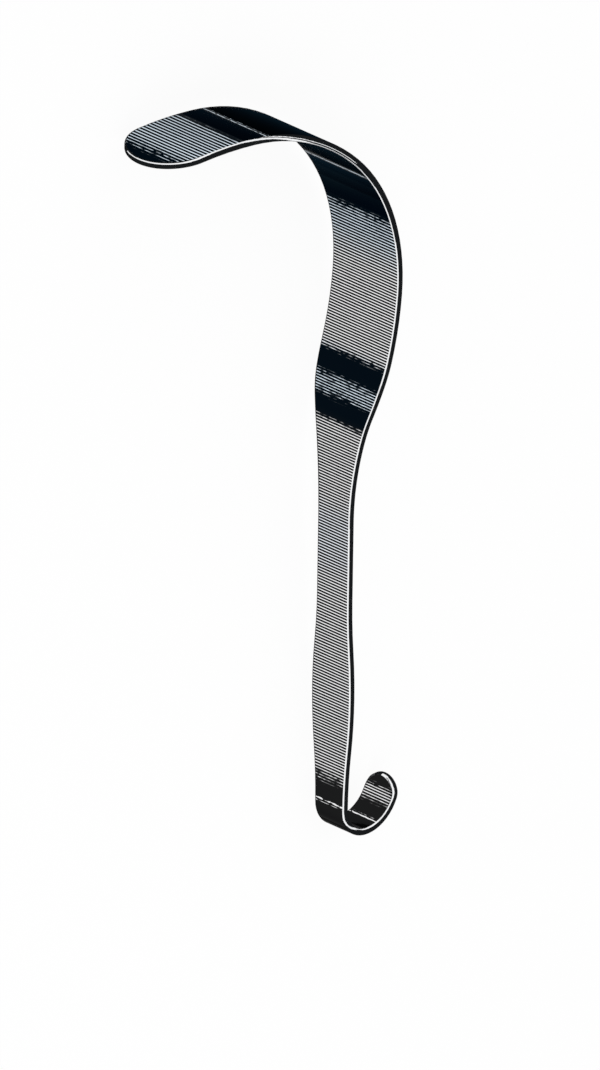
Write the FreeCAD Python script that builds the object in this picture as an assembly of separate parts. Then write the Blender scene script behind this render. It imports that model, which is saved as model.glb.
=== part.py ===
"""Handheld surgical retractor: one steel strip, bent into a question mark, lying on its edge.

Lengths are in millimetres and angles in degrees. The strip is drawn standing up first, with
the foot of its handle at the origin: the handle runs up along Z, the blade curls over towards
-X, the hook below the foot curls up towards +X, and the width of the strip lies along Y.
It is then laid on its edge, as it comes to rest on a table.
"""
import FreeCAD, Part
import math
import os
from FreeCAD import Rotation, Vector

# Section of the strip
strip_thickness = 2.8
edge_radius = 0.7
# The most of the thickness that one rounded edge may take
largest_edge_share = 0.45

# Widths of the strip, from the hook to the blade
hook_width = 15.6
swell_width = 20.8
waist_width = 17.1
blade_width = 35.4

# Outline of the handle: the palm swell's height above the foot, the run from the swell in to
# the waist, how far below the handle's top the flare begins, and the flare up to the shoulder
swell_height = 48.5
swell_to_waist_length = 39.5
flare_lead = 2.0
flare_length = 68.5
# Share of the flare's run that is the convex shoulder
shoulder_share = 0.32

# Hook, from the foot of the handle to its end
hook_foot_radius = 12.3
hook_foot_angle = 82.0
hook_side_radius = 15.3
hook_side_angle = 89.0
hook_end_length = 3.8

# Handle and blade, from the foot of the handle to the tip
handle_length = 123.5
lean_start_radius = 330.0
lean_start_angle = 6.0
lean_radius = 100.0
lean_angle = 12.6
neck_length = 6.7
bow_radius = 132.0
bow_angle = 14.1
crown_radius = 81.0
crown_angle = 50.5
roof_radius = 101.0
roof_angle = 36.0
tip_radius = 197.0
tip_angle = 13.4

# Spare strip past both ends, which comes off where they are rounded
spare_length = 2.0

# How far apart the points are taken that show where the strip touches the table
contact_spacing = 0.5
# A length that counts as none
negligible = 1e-6

waist_bottom_height = swell_height + swell_to_waist_length
waist_top_height = handle_length - flare_lead
shoulder_height = waist_top_height + flare_length

upwards = 90
downwards = -90


def straight(length):
    """A stretch of strip that doesn't bend, as its length and turn."""
    return length, 0


def bend(radius, turn):
    """A stretch of strip that bends evenly, to the left where the turn is positive."""
    return radius * math.radians(abs(turn)), turn


hook_stretches = [
    bend(hook_foot_radius, hook_foot_angle),
    bend(hook_side_radius, hook_side_angle),
    straight(hook_end_length),
]

blade_stretches = [
    straight(handle_length),
    bend(lean_start_radius, -lean_start_angle),
    bend(lean_radius, -lean_angle),
    straight(neck_length),
    bend(bow_radius, bow_angle),
    bend(crown_radius, crown_angle),
    bend(roof_radius, roof_angle),
    bend(tip_radius, tip_angle),
]


def advance(point, heading, length, turn):
    """The point and heading at the far end of a stretch, in the plane of the profile."""
    half_turn = math.radians(turn) / 2
    chord = length * math.sin(half_turn) / half_turn if turn else length
    direction = math.radians(heading) + half_turn
    step = Vector(math.cos(direction), 0, math.sin(direction)) * chord
    return point + step, heading + turn


def left_of(heading):
    """The unit vector to the left of a heading, in the plane of the profile."""
    angle = math.radians(heading)
    return Vector(-math.sin(angle), 0, math.cos(angle))


def rail(stretches, heading, offset):
    """The edges that follow the stretches from the foot, moved left by the offset."""
    point = Vector(0, 0, 0)
    edges = []
    for length, turn in stretches:
        middle, middle_heading = advance(point, heading, length / 2, turn / 2)
        end, end_heading = advance(point, heading, length, turn)
        first = point + left_of(heading) * offset
        last = end + left_of(end_heading) * offset
        if turn:
            halfway = middle + left_of(middle_heading) * offset
            edges.append(Part.Arc(first, halfway, last).toShape())
        else:
            edges.append(Part.makeLine(first, last))
        point, heading = end, end_heading
    return edges


def end_of(stretches, heading):
    """Where the stretches from the foot end."""
    point = Vector(0, 0, 0)
    for length, turn in stretches:
        point, heading = advance(point, heading, length, turn)
    return point


def bent_strip(stretches, heading, width):
    """A strip of one width that follows the stretches, with some to spare at its end."""
    path = stretches + [straight(spare_length)]
    left = rail(path, heading, strip_thickness / 2)
    right = rail(path, heading, -strip_thickness / 2)
    start_cap = Part.makeLine(right[0].firstVertex(True).Point, left[0].firstVertex(True).Point)
    end_cap = Part.makeLine(left[-1].lastVertex(True).Point, right[-1].lastVertex(True).Point)
    profile = Part.Wire(Part.__sortEdges__(left + right + [start_cap, end_cap]))
    profile.translate(Vector(0, -width / 2, 0))
    return Part.Face(profile).extrude(Vector(0, width, 0))


def ogee(start, end, end_share):
    """Two tangent arcs from start to end, both parallel to the handle where they begin and end."""
    rise = end.z - start.z
    spread = end.y - start.y
    if abs(spread) < negligible:
        return [Part.makeLine(start, end)]
    both_radii = (rise ** 2 + spread ** 2) / (2 * abs(spread))
    half_sweep = math.asin(rise / both_radii) / 2
    across = math.copysign(1 - math.cos(half_sweep), spread)
    to_middle = Vector(0, across, math.sin(half_sweep)) * both_radii
    inflection = start + (end - start) * (1 - end_share)
    first_arc = Part.Arc(start, start + to_middle * (1 - end_share), inflection)
    last_arc = Part.Arc(inflection, end - to_middle * end_share, end)
    return [first_arc.toShape(), last_arc.toShape()]


def handle_outline():
    """One side of the handle and its flare, seen from the front, from foot to shoulder."""
    foot = Vector(0, hook_width / 2, 0)
    swell = Vector(0, swell_width / 2, swell_height)
    waist_bottom = Vector(0, waist_width / 2, waist_bottom_height)
    waist_top = Vector(0, waist_width / 2, waist_top_height)
    shoulder = Vector(0, blade_width / 2, shoulder_height)
    edges = ogee(foot, swell, 0.5)
    edges += ogee(swell, waist_bottom, 0.5)
    edges += [Part.makeLine(waist_bottom, waist_top)]
    edges += ogee(waist_top, shoulder, shoulder_share)
    return edges


def flank_cutter():
    """All that lies outside the handle's outline on one side, as deep as the strip leans."""
    outline = handle_outline()
    foot = outline[0].firstVertex(True).Point
    shoulder = outline[-1].lastVertex(True).Point
    outside = Vector(0, blade_width, 0)
    corners = [shoulder, shoulder + outside, foot + outside, foot]
    edges = outline + [Part.makeLine(a, b) for a, b in zip(corners, corners[1:])]
    face = Part.Face(Part.Wire(Part.__sortEdges__(edges)))
    depth = Vector(handle_length, 0, 0)
    face.translate(-depth)
    return face.extrude(depth * 2)


def end_cutter(end, outward, through, width):
    """The corners that a full-round end of the strip leaves outside.

    The end is the outermost point of the strip, outward the way that it points there, and
    through the way across its thickness.
    """
    radius = width / 2
    centre = end - outward * radius
    near_side = centre - through * radius
    side = through.cross(outward) * width
    far = outward * width
    block = Part.Face(Part.makePolygon([
        near_side - side,
        near_side + side,
        near_side + side + far,
        near_side - side + far,
        near_side - side,
    ])).extrude(through * width)
    return block.cut(Part.makeCylinder(radius, width, near_side, through))


def make_hook():
    """The hook below the foot of the handle, with its round end."""
    strip = bent_strip(hook_stretches, downwards, hook_width)
    end = end_of(hook_stretches, downwards)
    return strip.cut(end_cutter(end, Vector(0, 0, 1), Vector(1, 0, 0), hook_width))


def make_handle_and_blade():
    """The handle with its palm swell, the flare, and the curled blade with its round tip."""
    strip = bent_strip(blade_stretches, upwards, blade_width)
    tip = end_of(blade_stretches, upwards)
    flank = flank_cutter()
    other_flank = flank.mirror(Vector(0, 0, 0), Vector(0, 1, 0))
    corners = end_cutter(tip, Vector(-1, 0, 0), Vector(0, 0, 1), blade_width)
    return strip.cut([flank, other_flank, corners])


def is_rim_edge(edge, solid):
    """Whether an edge is a corner of the strip, rather than a seam between tangent faces."""
    middle = edge.valueAt((edge.FirstParameter + edge.LastParameter) / 2)
    faces = solid.ancestorsOfType(edge, Part.Face)
    normals = [face.normalAt(*face.Surface.parameter(middle)) for face in faces]
    return len(normals) == 2 and normals[0].getAngle(normals[1]) > math.radians(45)


def rounded_rim(solid):
    """The solid with every corner along its rim rounded, as far as its thickness allows."""
    radius = min(edge_radius, largest_edge_share * strip_thickness)
    return solid.makeFillet(radius, [edge for edge in solid.Edges if is_rim_edge(edge, solid)])


def resting_tilt():
    """A point and the direction of the line that the blade rests on, and the strip's tilt.

    The blade is wider than the handle, so its edge touches the table at the shoulder and
    beside the round tip, and the strip tips about the line through those two points until
    the edge of the handle touches as well.
    """
    centre_line = Part.Wire(rail(blade_stretches, upwards, 0))
    points = centre_line.discretize(Distance=contact_spacing)
    shoulder = min(points, key=lambda point: abs(point.z - shoulder_height))
    beside_tip = end_of(blade_stretches, upwards) + Vector(blade_width / 2, 0, 0)
    along = (beside_tip - shoulder).normalize()
    slopes = []
    for edge in handle_outline():
        for point in edge.discretize(Distance=contact_spacing):
            on_handle = Vector(0, 0, point.z)
            if point.z < handle_length:
                distance = along.cross(on_handle - shoulder).Length
                slopes.append((blade_width / 2 - point.y) / distance)
    return shoulder, along, math.degrees(math.atan(min(slopes)))


def laid_down(upright):
    """The strip at rest on its edge: blade at -X and curling to -Y, hook at +X and to +Y."""
    shoulder, along, tilt = resting_tilt()
    laid = upright.copy()
    laid.rotate(shoulder, along, -tilt)
    lying = Rotation(Vector(0, 1, 0), Vector(0, 0, -1), Vector(-1, 0, 0), "XYZ")
    laid.rotate(Vector(0, 0, 0), lying.Axis, math.degrees(lying.Angle))
    box = laid.optimalBoundingBox()
    laid.translate(Vector(-box.Center.x, -box.Center.y, -box.ZMin))
    return laid


def make_retractor():
    """The whole instrument, one piece of steel."""
    joined = make_handle_and_blade().fuse(make_hook()).removeSplitter()
    [upright] = rounded_rim(joined).Solids
    return laid_down(upright)


retractor = make_retractor()
os.makedirs("parts", exist_ok=True)
retractor.exportStep("parts/retractor.step")
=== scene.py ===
"""Looks of a handheld surgical retractor: a ground and polished steel strip on a pale table.

Lengths are in metres and angles in degrees, in the part's own frame. The strip lies on one
edge, so its faces stand up from the table and its near rim is on top. A place on the strip is
given by two lengths: along its middle line from the foot of the handle, positive up the handle
to the blade's tip and negative round the hook, and across its width, down from its middle.
"""
import bisect
import itertools
import math

import bmesh
import bpy
from mathutils import Matrix, Vector
from mathutils.bvhtree import BVHTree
from mathutils.kdtree import KDTree


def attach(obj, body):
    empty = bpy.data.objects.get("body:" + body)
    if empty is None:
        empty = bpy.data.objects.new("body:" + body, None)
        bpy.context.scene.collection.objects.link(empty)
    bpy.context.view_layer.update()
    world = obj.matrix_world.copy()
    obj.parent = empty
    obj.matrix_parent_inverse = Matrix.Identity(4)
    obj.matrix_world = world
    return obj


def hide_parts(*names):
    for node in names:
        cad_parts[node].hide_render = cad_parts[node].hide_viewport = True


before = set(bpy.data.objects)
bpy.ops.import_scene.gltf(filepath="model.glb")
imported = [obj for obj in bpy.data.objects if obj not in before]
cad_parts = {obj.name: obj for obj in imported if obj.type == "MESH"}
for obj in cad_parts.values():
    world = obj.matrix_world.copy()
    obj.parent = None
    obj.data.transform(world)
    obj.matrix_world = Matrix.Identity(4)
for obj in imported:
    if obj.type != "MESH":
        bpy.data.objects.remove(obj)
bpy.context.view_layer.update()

# How the strip lies: the foot of its handle, the way up the handle, and the hook's side
foot = Vector((0.149672, 0.040974, 0.008579))
up_handle = Vector((-0.9989382, -0.0012367, 0.0460537))
hook_side = Vector((0.0012367, 0.9985595, 0.0536417))
# Across the strip, from its rim on top to its rim on the table
across_strip = up_handle.cross(hook_side)

strip_thickness = 0.0028
edge_radius = 0.0007
half_thickness = strip_thickness / 2
# How far the flat of the rim reaches to either side of the middle line
half_flat = half_thickness - edge_radius
# Round the rim's section, from the hollow side's face to the outer face: one corner, and all of it
corner_arc = edge_radius * math.pi / 2
section_length = (corner_arc + half_flat) * 2

# The middle line as lengths and turns, from the foot of the handle to the blade's tip
handle = (0.1235, 0.0)
lean_start = (0.330 * math.radians(6.0), -6.0)
lean = (0.100 * math.radians(12.6), -12.6)
neck = (0.0067, 0.0)
bow = (0.132 * math.radians(14.1), 14.1)
crown = (0.081 * math.radians(50.5), 50.5)
roof = (0.101 * math.radians(36.0), 36.0)
tip = (0.197 * math.radians(13.4), 13.4)
# and from the foot to the end of the hook
hook_foot = (0.0123 * math.radians(82.0), 82.0)
hook_side_bend = (0.0153 * math.radians(89.0), 89.0)
hook_end = (0.0038, 0.0)
line_step = 0.00025
strip_start = -0.0465
strip_end = 0.4015

# How close two points merge into one, and how exactly a point has to lie on a face or on the flat
merge_distance = 1e-6
on_face_within = 1e-5

# Camera: a parallel view from above, turned so that the handle runs up the picture
view_azimuth = -30.9248
view_elevation = 37.8285
view_turn = -108.9572
view_middle = Vector((0.055007, 0.065544, -0.026931))
view_height = 0.409168
view_distance = 1.5

# Places along the strip, each with the pitch of its ruling
ruling_pitches = [
    (-0.047, 0.001165), (-0.030, 0.001165), (0.000, 0.00124), (0.123, 0.00124), (0.140, 0.00118),
    (0.155, 0.00118), (0.172, 0.001055), (0.180, 0.001055), (0.200, 0.001116), (0.220, 0.00121),
    (0.240, 0.00146), (0.252, 0.00165), (0.364, 0.00217), (0.374, 0.00196), (0.386, 0.00184),
    (0.403, 0.00178),
]
# Places along the strip, each with how light its ruling is. Where it falls to nothing the steel is dark
# all over, as painted dark reflections at the foot, round the hook, in the two bands where the handle
# leans into the blade, over the crown and the roof, and at the tip's end. The lighter stretch between
# those two bands is a painted reflection too, and the fall where the crown starts is painted shade
ruling_and_painted_band_weights = [
    (-0.0405, 0.0), (-0.0395, 0.16), (-0.0384, 0.35), (-0.0352, 0.35), (-0.0337, 0.16),
    (-0.0322, 0.0), (0.0090, 0.0), (0.0105, 0.13), (0.0130, 0.16), (0.0155, 0.345),
    (0.1600, 0.345), (0.1618, 0.14), (0.1630, 0.0), (0.1700, 0.0), (0.1715, 0.16),
    (0.1732, 0.25), (0.1768, 0.25), (0.1785, 0.14), (0.1797, 0.0), (0.1874, 0.0),
    (0.1888, 0.15), (0.1905, 0.350), (0.2260, 0.350), (0.2490, 0.26), (0.2525, 0.13),
    (0.2545, 0.0), (0.3608, 0.0), (0.3622, 0.17), (0.3634, 0.30), (0.3860, 0.38),
    (0.3930, 0.14), (0.3960, 0.0),
]
# Thin highlights painted into the steel's colour across the dark bands, as the lengths where they start
# and end
painted_highlight_lines = [(-0.0253, -0.0243), (0.0012, 0.0023), (0.2786, 0.2799), (0.3466, 0.3477)]

# Light lines of the ruling, as places along the strip, each with its tint. The bluish tint is a painted
# reflection, in the lighter band between the two dark bands and where the crown starts
neutral_steel = (0.95, 0.955, 0.96)
cool_steel = (0.88, 0.92, 0.97)
bluish_painted_reflection = (0.78, 0.89, 0.98)
light_tints = [
    (0.095, neutral_steel), (0.106, cool_steel), (0.122, cool_steel), (0.132, neutral_steel),
    (0.165, neutral_steel), (0.172, bluish_painted_reflection), (0.180, bluish_painted_reflection), (0.192, neutral_steel),
    (0.226, neutral_steel), (0.240, bluish_painted_reflection),
]
# Dark between the lines of the ruling and in the bands, as places along the strip, each with its tint.
# Navy and black are the colours of the painted dark reflections in the bands
charcoal_steel = (0.0115, 0.0118, 0.0122)
navy_painted_reflection = (0.0012, 0.0040, 0.0075)
black_painted_reflection = (0.0003, 0.0008, 0.0014)
dark_line_and_painted_band_tints = [
    (0.1590, charcoal_steel), (0.1640, navy_painted_reflection), (0.1885, navy_painted_reflection), (0.1920, charcoal_steel),
    (0.2350, charcoal_steel), (0.2450, navy_painted_reflection), (0.2805, navy_painted_reflection), (0.2900, black_painted_reflection),
    (0.3360, black_painted_reflection), (0.3460, navy_painted_reflection),
]
rim_steel = (0.92, 0.93, 0.94)

# Along the strip, the pitch of the finest grain, of the breaks in the lines and of their wander
grain_pitch = 0.00035
break_pitch = 0.0006
wander_pitch = 0.010
# How many times its pitch the grain runs across the strip, and the breaks and the wander theirs
grain_stretch = 25.0
line_stretch = 4.0
# How far the lines wander, in radians of their ruling
line_wander = 1.5

# Steel is light where its line, from 0 to 1, and its weight together pass this level
light_level = 1.1
# How softly it turns light there, and how far the grain moves it up or down
level_softness = 0.09
grain_lift = 0.08
# Lines of less than this weight break up, the most at half of it, and other lines hardly do
unbroken_weight = 0.32
faint_line_breaks = 26.0
full_line_breaks = 0.5
# How far a painted highlight lifts the steel's colour, how much it breaks up, and its fade outside and
# inside its ends
painted_highlight_lift = 0.42
painted_highlight_breaks = 2.4
painted_highlight_fade_outside = 0.0008
painted_highlight_fade_inside = 0.0002

face_roughness = 0.17
rim_roughness = 0.12
roughness_spread = 0.08
# Relief of the ruling and of the grain, as shares of relief_height
ruling_relief = 0.6
grain_relief = 0.4
relief_strength = 0.25
relief_height = 0.00003
# Share of a plain metal's gloss that is left at a grazing angle
grazing_gloss = (0.5, 0.5, 0.5)

# Studio
white = (1.0, 1.0, 1.0)
table_size = 8.0
table_colour = (0.97, 0.97, 0.97)
table_glow_share = 0.92
studio_level = 0.80
lamp_place = Vector((0.5, -1.1, 1.5))
lamp_size = 1.2
lamp_power = 8.0

# Cards that the picture's own view sees mirrored in the steel. They draw the rim's dark line, and
# keep the white room out of the dark bands where those are seen at a grazing angle. They are set
# for that view alone, and the exported model is without them. First how the rim's cards glow, then
# how those of the faces do, each with the lengths where it starts and ends
rim_glow = (0.010, 0.011, 0.012)
face_cards = [
    ("grey", (0.48, 0.48, 0.48), [(-0.0176, -0.0130)]),
    ("charcoal", (0.16, 0.16, 0.16), [(-0.0130, -0.0070)]),
    ("pale_navy", (0.30, 0.60, 0.75), [(0.2550, 0.2645)]),
    ("mid_navy", (0.10, 0.25, 0.38), [(0.2645, 0.2715)]),
    ("navy", (0.045, 0.15, 0.26), [(0.2715, 0.2780), (0.3484, 0.3594)]),
    ("deep_navy", (0.006, 0.020, 0.034), [(0.2805, 0.3460)]),
]
# How far a card is held off the steel, along the view's reflection, and the least of that
card_reach = 0.001
least_reach = 0.0001
# How far off the steel that reflection starts, and how far above the table a card stays
off_steel = 0.00012
off_table = 0.0002
# Spacing of a band's places along the strip, and across it as a share of half its width
band_spacing = 0.0005
band_share = 0.1
# Half the gap between a band's two cards where the strip is seen edge on
edge_on_gap = 0.0002
# Spacing along the rim, and how close two places of the bare solid's rim may lie there
rim_spacing = 0.001
closest_places = 0.0005
# Steps round the section of the rim in sight, and shares of the far corner's arc
near_rim_steps = 32
far_corner_shares = (0.1, 0.4, 0.7, 1.0)
# Share of the arc in sight that a card covers, to stop short of the outline
arc_covered = 0.98

# Bright lines round the rim, where its cards are cut away, as lengths along the strip, each with
# where the line starts and ends round the rim's section: the line next to the face that is seen,
# which crosses the rim at the hook and at the crown, then a thinner one round the bend, then the
# crown's corner turned away
bright_lines = [
    [
        (-0.0470, 0.0025, 0.0037), (-0.0400, 0.0025, 0.0037), (-0.0360, 0.00278, 0.0037),
        (-0.0130, 0.00278, 0.0037), (-0.0080, 0.0013, 0.0021), (-0.0040, 0.0002, 0.0010),
        (-0.0005, -0.0001, 0.00082), (0.1000, -0.0001, 0.00082), (0.1700, -0.0001, 0.0006),
        (0.1950, -0.0001, 0.0007), (0.2300, -0.0001, 0.0007), (0.2800, -0.0001, 0.0006),
        (0.3200, -0.0001, 0.00086), (0.3330, 0.0007, 0.0015), (0.3450, 0.0018, 0.0025),
        (0.3620, 0.0029, 0.0037), (0.3800, 0.0028, 0.0037), (0.3900, 0.00255, 0.0032),
        (0.4020, 0.0026, 0.0031),
    ],
    [
        (0.2850, 0.00125, 0.00125), (0.2950, 0.00115, 0.0015), (0.3200, 0.0013, 0.0016),
        (0.3330, 0.0019, 0.0022), (0.3400, 0.0024, 0.0027), (0.3480, 0.0030, 0.0032),
        (0.3540, 0.0032, 0.0032),
    ],
    [
        (0.3320, -0.0001, 0.0000), (0.3400, -0.0001, 0.0004), (0.3520, -0.0001, 0.0004),
        (0.3660, -0.0001, 0.0000),
    ],
]
# Past these lengths, at the two round ends, a line runs only where the rim turns so far to the camera
hook_end_start = -0.0437
tip_end_start = 0.390
least_turn = 0.25


class Value:
    """A number in a shader, which takes part in Python arithmetic."""

    def __init__(self, shader, socket):
        self.shader = shader
        self.socket = socket

    def __add__(self, other):
        return self.shader.maths("ADD", self, other)

    def __sub__(self, other):
        return self.shader.maths("SUBTRACT", self, other)

    def __rsub__(self, other):
        return self.shader.maths("SUBTRACT", other, self)

    def __mul__(self, other):
        return self.shader.maths("MULTIPLY", self, other)

    def __truediv__(self, other):
        return self.shader.maths("DIVIDE", self, other)

    __radd__ = __add__
    __rmul__ = __mul__


class Shader:
    """The node tree of a material or of the world."""

    def __init__(self, owner):
        owner.use_nodes = True
        self.tree = owner.node_tree
        self.tree.nodes.clear()

    def node(self, kind, settings=None, **inputs):
        """A node with its settings, then the values or links of its inputs."""
        made = self.tree.nodes.new(kind)
        for name, value in (settings or {}).items():
            if name == "stops":
                self.set_stops(made.color_ramp, value)
            else:
                setattr(made, name, value)
        for name, value in inputs.items():
            self.feed(made, name.replace("_", " "), value)
        return made

    def set_stops(self, ramp, stops):
        """Gives a ramp its stops, each a place from 0 to 1 and a colour."""
        while len(ramp.elements) > 1:
            ramp.elements.remove(ramp.elements[-1])
        for number, (place, colour) in enumerate(stops):
            stop = ramp.elements.new(place) if number else ramp.elements[0]
            stop.position = place
            stop.color = (*colour, 1.0)

    def feed(self, made, name, value):
        """Sets or links one input, named by its label or by its number."""
        socket = made.inputs[int(name)] if name.isdigit() else made.inputs[name]
        if isinstance(value, Value):
            self.tree.links.new(value.socket, socket)
        elif isinstance(value, bpy.types.NodeSocket):
            self.tree.links.new(value, socket)
        elif isinstance(value, tuple) and len(value) == 3 and socket.type == "RGBA":
            socket.default_value = (*value, 1.0)
        else:
            socket.default_value = value

    def maths(self, operation, *values):
        """The value of a Math node."""
        made = self.node("ShaderNodeMath", {"operation": operation})
        for place, value in enumerate(values):
            self.feed(made, str(place), value)
        return Value(self, made.outputs[0])

    def blend(self, share, first, second):
        """The colour between two colours."""
        made = self.node("ShaderNodeMix", {"data_type": "RGBA"})
        self.feed(made, "0", share)
        self.feed(made, "6", first)
        self.feed(made, "7", second)
        return made.outputs[2]

    def smooth_step(self, value, low, high):
        """0 below low, 1 above high, and a smooth rise between them."""
        made = self.node("ShaderNodeMapRange", {"interpolation_type": "SMOOTHSTEP"})
        for name, number in (("Value", value), ("From Min", low), ("From Max", high)):
            self.feed(made, name, number)
        return Value(self, made.outputs["Result"])


def view_axes():
    """The picture's right, its up, and the way to the camera."""
    azimuth, elevation, turn = (math.radians(a) for a in (view_azimuth, view_elevation, view_turn))
    towards = Vector((math.sin(azimuth) * math.cos(elevation),
                      -math.cos(azimuth) * math.cos(elevation), math.sin(elevation)))
    level_right = Vector((math.cos(azimuth), math.sin(azimuth), 0.0))
    level_up = towards.cross(level_right)
    upward = level_up * math.cos(turn) + level_right * math.sin(turn)
    return upward.cross(towards), upward, towards


to_camera = view_axes()[2]


def middle_line(stretches, heading, sign):
    """Points each line_step along the stretches: length along, place and left-hand side."""
    point, along = Vector((0.0, 0.0)), 0.0
    points = []
    for length, turn in stretches:
        steps = max(1, round(length / line_step))
        for step in range(steps):
            halfway = math.radians(heading + turn / steps / 2)
            direction = Vector((math.cos(halfway), math.sin(halfway)))
            side = Vector((-direction.y, direction.x))
            points.append((along * sign, point.copy(), side * sign))
            point += direction * (length / steps)
            heading += turn / steps
            along += length / steps
    points.append((along * sign, point.copy(), side * sign))
    return points


hook_line = middle_line([hook_foot, hook_side_bend, hook_end], -90.0, -1)
blade_line = middle_line([handle, lean_start, lean, neck, bow, crown, roof, tip], 90.0, 1)
strip_line = hook_line[:0:-1] + blade_line
strip_lengths = [along for along, point, side in strip_line]

line_tree = KDTree(len(strip_line))
for number, (along, point, side) in enumerate(strip_line):
    line_tree.insert((point.x, point.y, 0.0), number)
line_tree.balance()


def place_on_strip(point):
    """The lengths along, across and out from the middle line of a point on the strip's surface."""
    arm = point - foot
    flat = Vector((arm.dot(hook_side), arm.dot(up_handle)))
    number = line_tree.find((flat.x, flat.y, 0.0))[1]
    along, nearest, side = strip_line[number]
    forward = Vector((side.y, -side.x))
    step = flat - nearest
    return along + step.dot(forward), arm.dot(across_strip), step.dot(side)


def at_along(along):
    """The middle line's point at a length along, its side towards the hollow, and its way forward."""
    number = min(max(bisect.bisect(strip_lengths, along), 1), len(strip_line) - 1)
    before, after = strip_line[number - 1], strip_line[number]
    share = (along - before[0]) / (after[0] - before[0])
    flat = before[1].lerp(after[1], share)
    side = before[2].lerp(after[2], share).normalized()
    point = foot + hook_side * flat.x + up_handle * flat.y
    hollow_side = hook_side * side.x + up_handle * side.y
    forward = hook_side * side.y - up_handle * side.x
    return point, hollow_side, forward


def lines_before(along):
    """How many lines of the ruling lie before a length along the strip."""
    count = 0.0
    for (start, pitch), (end, last_pitch) in zip(ruling_pitches, ruling_pitches[1:]):
        if along > start:
            reach = min(along, end) - start
            last = 1 / pitch + (1 / last_pitch - 1 / pitch) * reach / (end - start)
            count += (1 / pitch + last) / 2 * reach
    return count


def finished_strip():
    """The strip's own surface with its ruling laid out along it, ready for its finish.

    With it come the places of the rim's flat, as lengths along and across, and a tree of its faces.
    """
    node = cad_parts["retractor"]
    mesh = node.data.copy()
    mesh.name = "ground_strip"
    bm = bmesh.new()
    bm.from_mesh(mesh)
    bmesh.ops.remove_doubles(bm, verts=bm.verts, dist=merge_distance)
    layout = bm.loops.layers.uv.new("strip")
    rim = bm.verts.layers.float.new("rim")
    ruling = bm.verts.layers.float.new("ruling")
    rim_places = []
    for vert in bm.verts:
        along, across, out = place_on_strip(vert.co)
        vert[rim] = 0.0 if abs(out) > half_thickness - on_face_within else 1.0
        vert[ruling] = lines_before(along)
        if abs(out) < half_flat + on_face_within:
            rim_places.append((along, across))
        for loop in vert.link_loops:
            loop[layout].uv = (along, across)
    for face in bm.faces:
        face.smooth = True
    tree = BVHTree.FromBMesh(bm)
    bm.to_mesh(mesh)
    bm.free()
    strip = bpy.data.objects.new("ground_strip", mesh)
    bpy.context.scene.collection.objects.link(strip)
    return strip, rim_places, tree


def steel():
    """Steel ground across the strip in fine lines, with its rim polished bright, and with dark reflections
    in its bands, shade where the crown starts and thin highlights painted into its colour.
    """
    material = bpy.data.materials.new("ground_steel_painted_reflections")
    shader = Shader(material)
    layout = shader.node("ShaderNodeUVMap", {"uv_map": "strip"})
    parts = shader.node("ShaderNodeSeparateXYZ", Vector=layout.outputs["UV"])
    along = Value(shader, parts.outputs["X"])
    across = Value(shader, parts.outputs["Y"])
    rim = Value(shader, shader.node("ShaderNodeAttribute", {"attribute_name": "rim"}).outputs["Fac"])
    ruling = Value(shader, shader.node("ShaderNodeAttribute", {"attribute_name": "ruling"}).outputs["Fac"])
    share = (along - strip_start) / (strip_end - strip_start)

    def along_ramp(stops):
        """A colour that changes from place to place along the strip."""
        places = [((place - strip_start) / (strip_end - strip_start), colour) for place, colour in stops]
        return shader.node("ShaderNodeValToRGB", {"stops": places}, Fac=share).outputs["Color"]

    def streaks(pitch, stretch, seed, detail):
        """Noise drawn out across the strip, as grinding leaves it."""
        place = shader.node("ShaderNodeCombineXYZ", X=along / pitch, Y=across / (pitch * stretch), Z=seed)
        noise = shader.node("ShaderNodeTexNoise", Vector=place.outputs[0], Scale=1.0, Detail=detail)
        return Value(shader, noise.outputs["Fac"])

    wander = streaks(wander_pitch, line_stretch, seed=3.1, detail=1.0)
    uneven = streaks(break_pitch, line_stretch, seed=7.7, detail=1.0)
    grain = streaks(grain_pitch, grain_stretch, seed=1.3, detail=2.0)
    # The weight leaves the steel dark in the bands and lighter between them, as painted reflections, and
    # darker where the crown starts, as painted shade
    weight = Value(shader, along_ramp([(place, (w, w, w)) for place, w in ruling_and_painted_band_weights]))
    lines = shader.maths("SINE", ruling * (2 * math.pi) + wander * line_wander) * 0.5 + 0.5

    # Thin highlights painted into the steel's colour across the dark bands
    painted_highlight = 0.0
    for low, high in painted_highlight_lines:
        started = shader.smooth_step(along, low - painted_highlight_fade_outside, low + painted_highlight_fade_inside)
        ended = shader.smooth_step(along, high - painted_highlight_fade_inside, high + painted_highlight_fade_outside)
        painted_highlight = painted_highlight + started * (1.0 - ended)

    faint_breaks = weight * (unbroken_weight - weight) * faint_line_breaks
    breaks = shader.maths("MAXIMUM", faint_breaks, weight * full_line_breaks)
    broken = (uneven - 0.5) * (breaks + painted_highlight * painted_highlight_breaks)
    tone = lines + weight + painted_highlight * painted_highlight_lift - light_level + broken + (grain - 0.5) * grain_lift
    light = shader.smooth_step(tone, -level_softness, level_softness)
    # The face's colour, with the painted reflections, shade and highlights of the bands
    face_colour = shader.blend(light, along_ramp(dark_line_and_painted_band_tints), along_ramp(light_tints))
    colour = shader.blend(shader.smooth_step(rim, 0.0, 0.5), face_colour, rim_steel)

    polish = rim * (face_roughness - rim_roughness)
    roughness = face_roughness + (grain - 0.5) * roughness_spread - polish
    height = (lines * ruling_relief + grain * grain_relief) * (1.0 - rim)
    bump = shader.node("ShaderNodeBump", Strength=relief_strength, Distance=relief_height, Height=height)
    surface = shader.node("ShaderNodeBsdfPrincipled", Base_Color=colour, Metallic=1.0,
                          Roughness=roughness, Specular_Tint=grazing_gloss, Normal=bump.outputs[0])
    shader.node("ShaderNodeOutputMaterial", Surface=surface.outputs[0])
    return material


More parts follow.
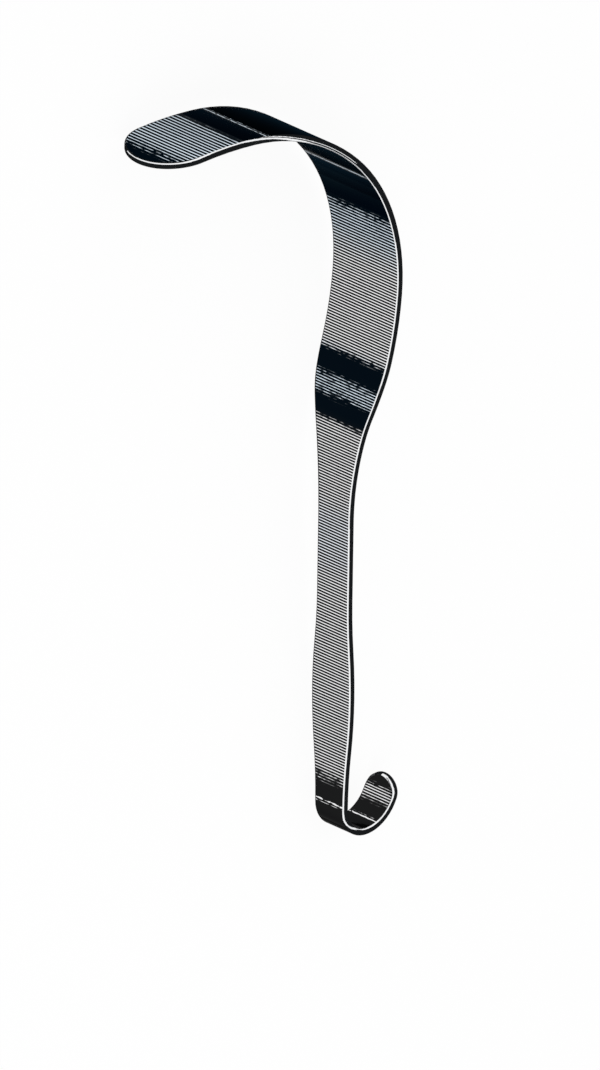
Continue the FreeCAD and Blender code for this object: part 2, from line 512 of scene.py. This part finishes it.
def seen_directly(shader):
    """1 for rays from the camera, or by way of gloss or glass, and 0 for scattered light."""
    path = shader.node("ShaderNodeLightPath")
    rays = [Value(shader, path.outputs[name])
            for name in ("Is Camera Ray", "Is Glossy Ray", "Is Transmission Ray")]
    return shader.maths("MINIMUM", rays[0] + rays[1] + rays[2], 1.0)


def table_finish():
    """A pale matt table whose shadows stay faint."""
    material = bpy.data.materials.new("pale_table")
    shader = Shader(material)
    matt = shader.node("ShaderNodeBsdfDiffuse", Color=table_colour)
    glow = shader.node("ShaderNodeEmission", Color=white, Strength=1.0)
    surface = shader.node("ShaderNodeMixShader")
    shader.feed(surface, "0", seen_directly(shader) * table_glow_share)
    shader.feed(surface, "1", matt.outputs[0])
    shader.feed(surface, "2", glow.outputs[0])
    shader.node("ShaderNodeOutputMaterial", Surface=surface.outputs[0])
    return material


def card_finish(name, colour):
    """A faint even glow that sends no light back."""
    material = bpy.data.materials.new(name)
    shader = Shader(material)
    surface = shader.node("ShaderNodeEmission", Color=colour, Strength=1.0)
    shader.node("ShaderNodeOutputMaterial", Surface=surface.outputs[0])
    return material


def stage_object(name, bm, material):
    """A piece of the studio, which isn't part of the object."""
    mesh = bpy.data.meshes.new(name)
    bm.to_mesh(mesh)
    bm.free()
    mesh.materials.append(material)
    made = bpy.data.objects.new(name, mesh)
    bpy.context.scene.collection.objects.link(made)
    return made


def table():
    """The table that the strip lies on."""
    bm = bmesh.new()
    bmesh.ops.create_grid(bm, x_segments=1, y_segments=1, size=table_size / 2)
    stage_object("table", bm, table_finish())


def mirrored_view(normal):
    """Which way the picture's view goes on from a polished place that faces along the normal."""
    return normal * (2 * normal.dot(to_camera)) - to_camera


def held_off(point, normal):
    """Where a card stands for a place of the steel: along the view's reflection there.

    It stays above the table, and well short of the strip's next turn.
    """
    way = mirrored_view(normal)
    start = point + normal * off_steel
    met = strip_tree.ray_cast(start, way, card_reach * 2)[3]
    reach = card_reach if met is None else met / 2
    if way.z < 0.0:
        reach = max(min(reach, (start.z - off_table) / -way.z), least_reach)
    return start + way * reach


def card(name, rows, material, bright=None):
    """A dark card that the picture sees mirrored in the given places of the steel.

    Each row lists places as a point and a normal. The card shows only in reflections, and is
    cut away where most of the places around are bright.
    """
    bm = bmesh.new()
    wide, high = len(rows[0]) - 1, len(rows) - 1
    bmesh.ops.create_grid(bm, x_segments=wide, y_segments=high, size=0.5)
    cells = {vert: (round((vert.co.y + 0.5) * high), round((vert.co.x + 0.5) * wide)) for vert in bm.verts}
    cut = []
    if bright:
        cut = [face for face in bm.faces
               if sum(bright[row][column] for row, column in (cells[vert] for vert in face.verts)) > 2]
    for vert, (row, column) in cells.items():
        vert.co = held_off(*rows[row][column])
    bmesh.ops.delete(bm, geom=cut, context="FACES")
    made = stage_object(name, bm, material)
    made.visible_camera = False
    made.visible_diffuse = False
    made.visible_transmission = False
    made.visible_shadow = False


def seen_side(along):
    """The middle line's point at a length along, the seen face's normal, and the way forward."""
    point, hollow_side, forward = at_along(along)
    face = hollow_side if hollow_side.dot(to_camera) > 0.0 else -hollow_side
    return point, face, forward


def hollow_in_sight(place):
    """Whether a place of the strip's line turns its hollow side to the camera."""
    side = place[2]
    return (hook_side * side.x + up_handle * side.y).dot(to_camera) > 0.0


def steps_between(start, end, step):
    """Even steps from start to end."""
    count = max(2, math.ceil((end - start) / step))
    return [start + (end - start) * number / count for number in range(count + 1)]


def half_width_of_flat(along):
    """How far the flat of the face reaches to either side, at a length along."""
    number = bisect.bisect(flat_lengths, along)
    if number in (0, len(flat_line)):
        return 0.0
    before, after = flat_line[number - 1], flat_line[number]
    share = (along - before[0]) / (after[0] - before[0])
    return before[1] + (after[1] - before[1]) * share


def band_cards(start, end, material):
    """Cards over a band of the faces, parted where the strip is seen edge on."""
    turns = [before[0] for before, after in zip(strip_line, strip_line[1:])
             if start < before[0] < end and hollow_in_sight(before) != hollow_in_sight(after)]
    limits = [start] + turns + [end]
    for number, (low, high) in enumerate(zip(limits, limits[1:])):
        low += edge_on_gap if number else 0.0
        high -= edge_on_gap if number < len(limits) - 2 else 0.0
        columns = steps_between(low, high, band_spacing)
        rows = []
        for share in steps_between(-1.0, 1.0, band_share):
            row = []
            for along in columns:
                point, face, forward = seen_side(along)
                across = half_width_of_flat(along) * share
                row.append((point + face * half_thickness + across_strip * across, face))
            rows.append(row)
        card(f"band_card_{round(low * 1000)}", rows, material)


def round_the_rim(places):
    """The line round the rim as one loop with close places, each with its way outwards.

    Places and ways are lengths along and across the strip.
    """
    on_table = sorted(place for place in places if place[1] >= 0.0)
    on_top = sorted((place for place in places if place[1] < 0.0), reverse=True)
    corners = []
    for place in on_table + on_top:
        if not corners or math.dist(place, corners[-1]) > closest_places:
            corners.append(Vector(place))
    loop = []
    for first, last in zip(corners, corners[1:] + corners[:1]):
        steps = max(1, round((last - first).length / rim_spacing))
        loop += [first.lerp(last, step / steps) for step in range(steps)]
    ways = []
    for before, after in zip(loop[-2:] + loop[:-2], loop[2:] + loop[:2]):
        step = after - before
        ways.append(Vector((-step.y, step.x)).normalized())
    return list(zip(loop, ways))


def rim_place(place, way):
    """A place of the rim: its point on the middle surface, the seen face's normal, the way outwards."""
    point, face, forward = seen_side(place.x)
    return point + across_strip * place.y, face, across_strip * way.y + forward * way.x


def corner_in_sight(face_turned, edge_turned):
    """The arc of a corner in sight, from how far its face and the rim's flat turn to the camera."""
    if face_turned > 0.0:
        return corner_arc
    return edge_radius * math.atan2(max(edge_turned, 0.0), -face_turned) * arc_covered


def on_section(middle, hollow_side, edge, length):
    """The point and normal at a length round the rim's section, from the hollow side's face."""
    to_flat = corner_arc - length
    past_flat = length - corner_arc - half_flat * 2
    if to_flat > 0.0:
        side, turn, out = hollow_side, to_flat / edge_radius, half_flat
    elif past_flat > 0.0:
        side, turn, out = -hollow_side, past_flat / edge_radius, half_flat
    else:
        side, turn, out = hollow_side, 0.0, half_flat + to_flat
    normal = edge * math.cos(turn) + side * math.sin(turn)
    return middle + side * out + (normal - edge) * edge_radius, normal


def is_bright(along, length, edge_turned):
    """Whether a place round the rim's section belongs to one of its bright lines."""
    if (along < hook_end_start or along > tip_end_start) and edge_turned < least_turn:
        return False
    for line in bright_lines:
        for (start, low, high), (end, last_low, last_high) in zip(line, line[1:]):
            if start <= along < end:
                share = (along - start) / (end - start)
                if low + (last_low - low) * share < length < high + (last_high - high) * share:
                    return True
    return False


def near_rim_card(run):
    """The card of the rim in sight: its flat and both corners, cut away along the bright lines."""
    columns, bright = [], []
    for place, way in run:
        middle, face, edge = rim_place(place, way)
        hollow_side = at_along(place.x)[1]
        hollow_turned, edge_turned = hollow_side.dot(to_camera), edge.dot(to_camera)
        start = corner_arc - corner_in_sight(hollow_turned, edge_turned)
        end = section_length - corner_arc + corner_in_sight(-hollow_turned, edge_turned)
        lengths = [start + (end - start) * step / near_rim_steps for step in range(near_rim_steps + 1)]
        columns.append([on_section(middle, hollow_side, edge, length) for length in lengths])
        bright.append([is_bright(place.x, length, edge_turned) for length in lengths])
    name = f"near_rim_card_{round(run[0][0].x * 1000)}"
    card(name, list(zip(*columns)), rim_card, list(zip(*bright)))


def far_rim_card(run):
    """The card of the corner where the seen face rolls over to the rim that is turned away."""
    columns = []
    for place, way in run:
        middle, face, edge = rim_place(place, way)
        turn_in_sight = min(math.atan2(face.dot(to_camera), -edge.dot(to_camera)), math.pi / 2)
        column = []
        for share in far_corner_shares:
            turn = turn_in_sight * arc_covered * share
            normal = face * math.cos(turn) + edge * math.sin(turn)
            column.append((middle + face * half_flat + (normal - edge) * edge_radius, normal))
        columns.append(column)
    card(f"far_rim_card_{round(run[0][0].x * 1000)}", list(zip(*columns)), rim_card)


def rim_kind(stop):
    """Whether a stop of the rim is in sight, or else which face is seen beside it."""
    middle, face, edge = rim_place(*stop)
    if edge.dot(to_camera) > 0.0:
        return "in sight"
    return "hollow side" if face.dot(at_along(stop[0].x)[1]) > 0.0 else "outer side"


def rim_cards():
    """Cards all along the rim, where it is in sight and where it is turned away."""
    start = next(n for n, stop in enumerate(rim_loop) if rim_kind(stop) != rim_kind(rim_loop[n - 1]))
    turned_loop = rim_loop[start:] + rim_loop[:start]
    reached = 0
    for kind, run in itertools.groupby(turned_loop, key=rim_kind):
        count = len(list(run))
        if kind == "in sight":
            around = range(reached - 1, reached + count + 1)
            near_rim_card([turned_loop[n % len(turned_loop)] for n in around])
        elif count > 2:
            far_rim_card(turned_loop[reached:reached + count])
        reached += count


def studio_light():
    """An even white room, and one broad soft lamp that gives the shadow its direction."""
    world = bpy.data.worlds.new("white_room")
    bpy.context.scene.world = world
    shader = Shader(world)
    level = seen_directly(shader) * (1.0 - studio_level) + studio_level
    room = shader.node("ShaderNodeBackground", Color=white, Strength=level)
    shader.node("ShaderNodeOutputWorld", Surface=room.outputs[0])
    lamp = bpy.data.lights.new("soft_lamp", "AREA")
    lamp.shape = "DISK"
    lamp.size = lamp_size
    lamp.energy = lamp_power
    made = bpy.data.objects.new("soft_lamp", lamp)
    made.visible_glossy = False
    bpy.context.scene.collection.objects.link(made)
    aim = lamp_place.to_track_quat("Z", "Y").to_matrix().to_4x4()
    made.matrix_world = Matrix.Translation(lamp_place) @ aim


def camera():
    """The parallel view of the picture."""
    right, upward, towards = view_axes()
    data = bpy.data.cameras.new("camera")
    data.type = "ORTHO"
    data.sensor_fit = "VERTICAL"
    data.ortho_scale = view_height
    made = bpy.data.objects.new("camera", data)
    turn = Matrix((right, upward, towards)).transposed().to_4x4()
    made.matrix_world = Matrix.Translation(view_middle + towards * view_distance) @ turn
    bpy.context.scene.collection.objects.link(made)
    bpy.context.scene.camera = made


strip, rim_places, strip_tree = finished_strip()
strip.data.materials.clear()
strip.data.materials.append(steel())
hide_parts("retractor")
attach(strip, "root")

rim_loop = round_the_rim(rim_places)
face_edge = [place - way * edge_radius for place, way in rim_loop]
flat_line = sorted((place.x, place.y) for place in face_edge if place.y > 0.0)
flat_lengths = [along for along, across in flat_line]

table()
rim_card = card_finish("rim_card", rim_glow)
for name, glow, bands in face_cards:
    material = card_finish(f"{name}_card", glow)
    for start, end in bands:
        band_cards(start, end, material)
rim_cards()

studio_light()
camera()
bpy.context.scene.view_settings.view_transform = "Standard"
